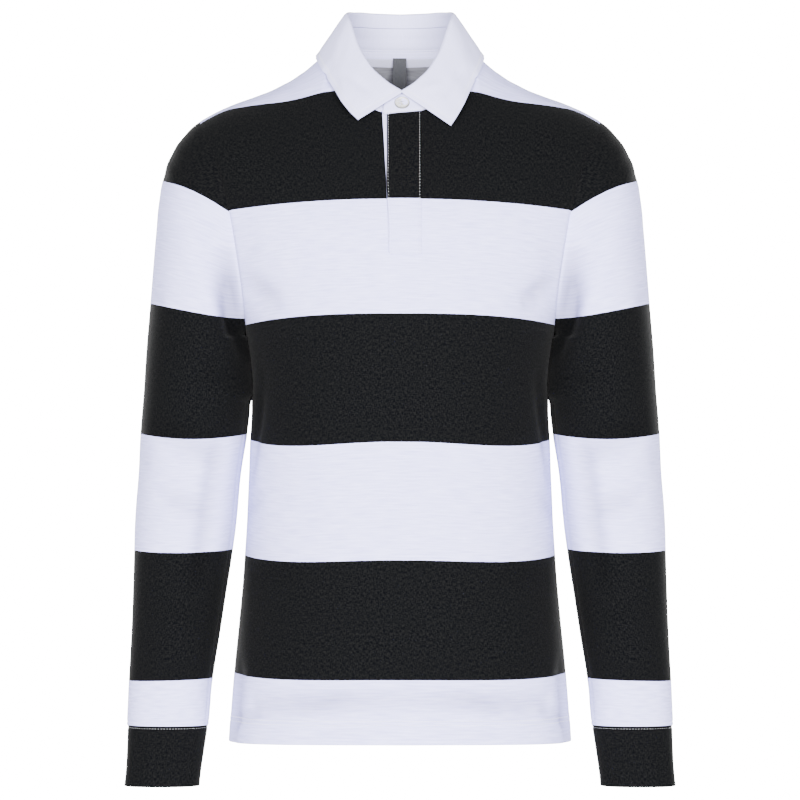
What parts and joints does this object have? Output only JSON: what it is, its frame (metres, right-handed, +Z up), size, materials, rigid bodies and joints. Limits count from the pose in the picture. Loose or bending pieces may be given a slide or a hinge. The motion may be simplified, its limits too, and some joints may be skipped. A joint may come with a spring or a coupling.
{
  "type": "rugby shirt",
  "caption": "Long-sleeved hooped rugby shirt, filled out as if worn with nobody inside, with a drill collar, concealed placket, neck button and plain cuffs.",
  "frame": {"origin": "between the neck ends of the two shoulder seams, where a wearer's neck and shoulders hold the shirt up", "axes": "+X towards the wearer's left sleeve, +Y towards the back of the shirt, +Z up from hem to collar"},
  "size_m": [0.5442, 0.2674, 0.7737],
  "materials": {
    "hooped_jersey": "heavy cotton jersey in broad black and white hoops, soft matt with a faint nap",
    "black_jersey": "doubled black cotton jersey, soft matt",
    "white_drill": "white cotton drill, crisp matt twill",
    "neck_tape": "white herringbone tape, matt",
    "grey_label": "plain woven label, matt",
    "button": "pale resin, soft gloss"
  },
  "bodies": {
    "root": {"front": "hooped_jersey", "back": "hooped_jersey", "sleeve_left": "hooped_jersey", "sleeve_right": "hooped_jersey", "placket_top": "hooped_jersey", "cuff_left": "black_jersey", "cuff_right": "black_jersey", "placket_under": "white_drill", "collar_stand": "white_drill", "collar_leaf": "white_drill", "neck_tape": "neck_tape", "neck_label": "grey_label", "button": "button"}
  },
  "joints": []
}
